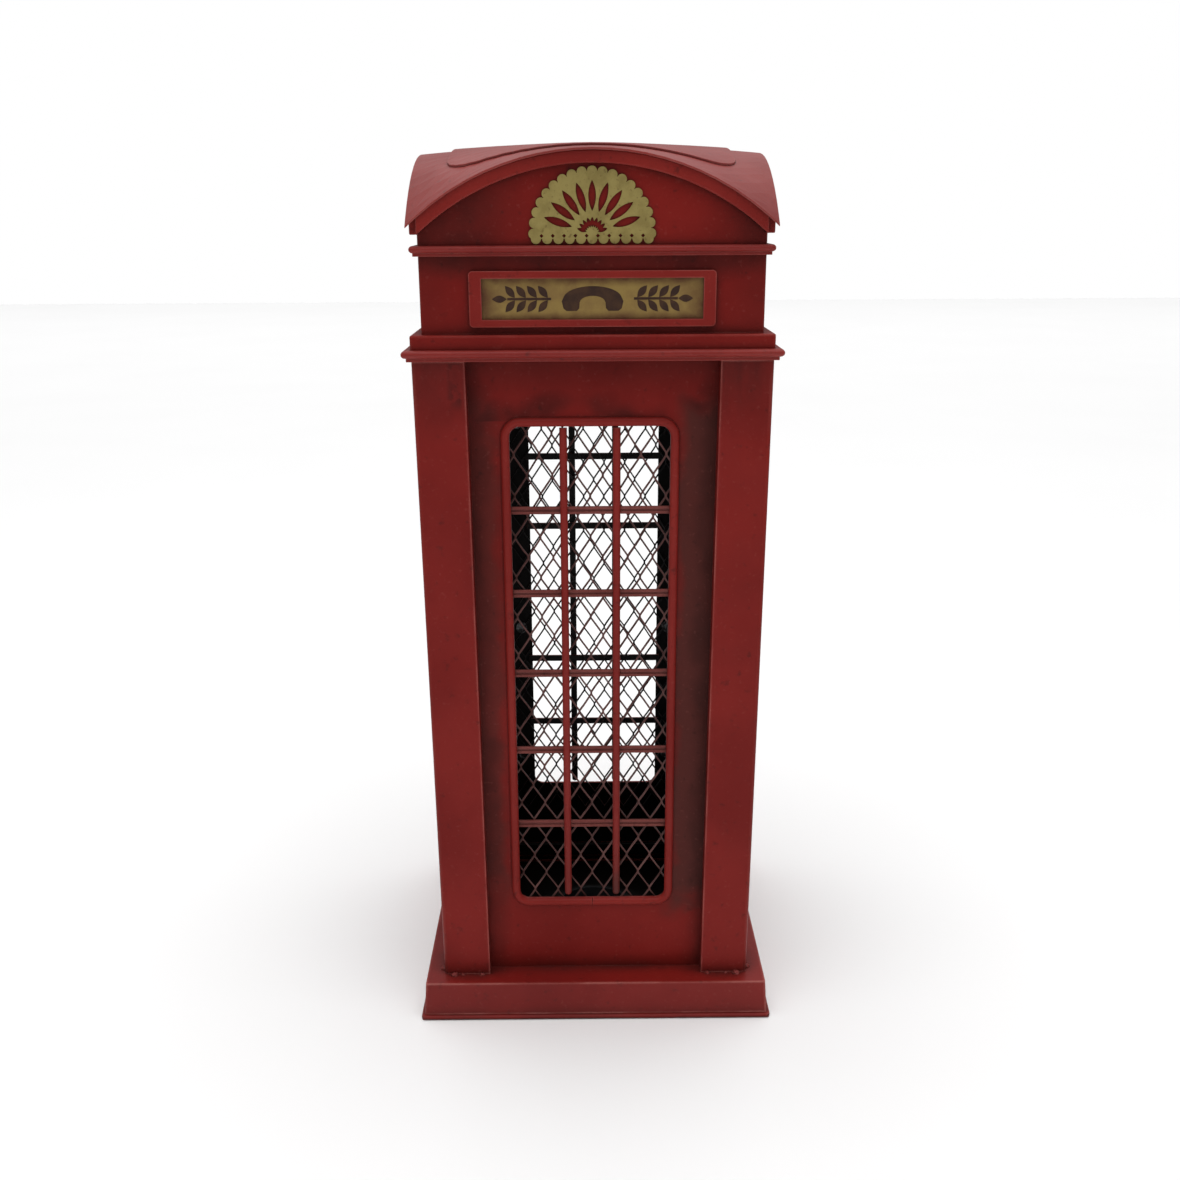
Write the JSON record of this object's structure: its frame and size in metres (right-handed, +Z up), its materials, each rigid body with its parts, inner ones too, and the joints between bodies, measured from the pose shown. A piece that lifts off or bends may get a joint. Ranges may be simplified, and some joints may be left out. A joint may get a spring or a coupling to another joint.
{
  "type": "miniature telephone booth money box",
  "caption": "Tabletop sheet-metal telephone booth with arched roof, barred mesh windows, a coin slot in the roof and a pull-out stopper in the base.",
  "frame": {"origin": "middle of the underside, on the surface that the booth stands on", "axes": "+Z up, front face towards -Y, +X to the right of someone facing the front"},
  "size_m": [0.1012, 0.1012, 0.2393],
  "materials": {
    "red": "antique red paint with smoky brown shading in the corners, satin",
    "mesh": "dark red-brown paint, satin",
    "gold": "dull antique gold paint",
    "solder": "solder under dark paint",
    "rubber": "matt black rubber"
  },
  "bodies": {
    "booth": {"base_plate": "red", "plinth": "red", "post_front_left": "red", "post_front_right": "red", "post_back_right": "red", "post_back_left": "red", "panel_front": "red", "panel_right": "red", "panel_back": "red", "panel_left": "red", "window_rim_front": "red", "window_rim_right": "red", "window_rim_back": "red", "window_rim_left": "red", "window_mesh_front": "mesh", "window_mesh_right": "mesh", "window_mesh_back": "mesh", "window_mesh_left": "mesh", "uprights_front": "red", "uprights_right": "red", "uprights_back": "red", "uprights_left": "red", "crossbars_front": "red", "crossbars_right": "red", "crossbars_back": "red", "crossbars_left": "red", "sign_frame_front": "red", "sign_frame_right": "red", "sign_frame_back": "red", "sign_frame_left": "red", "sign_plate_front": "gold", "sign_plate_right": "gold", "sign_plate_back": "gold", "sign_plate_left": "gold", "gable_front": "red", "gable_right": "red", "gable_back": "red", "gable_left": "red", "arch_band_front": "red", "arch_band_right": "red", "arch_band_back": "red", "arch_band_left": "red", "ornament_front": "gold", "ornament_right": "gold", "ornament_back": "gold", "ornament_left": "gold", "solder_tabs": "solder", "foot_solder": "red", "cornice_band": "red", "cornice_bead": "red", "frieze": "red", "string_bead": "red", "roof_sheet": "red", "roof_cap": "red"},
    "stopper": {"stopper": "rubber"}
  },
  "joints": [
    {"name": "stopper_pull", "type": "slide", "parent": "booth", "child": "stopper", "axis": [0, 0, -1], "range_m": [0, 0.012]}
  ]
}
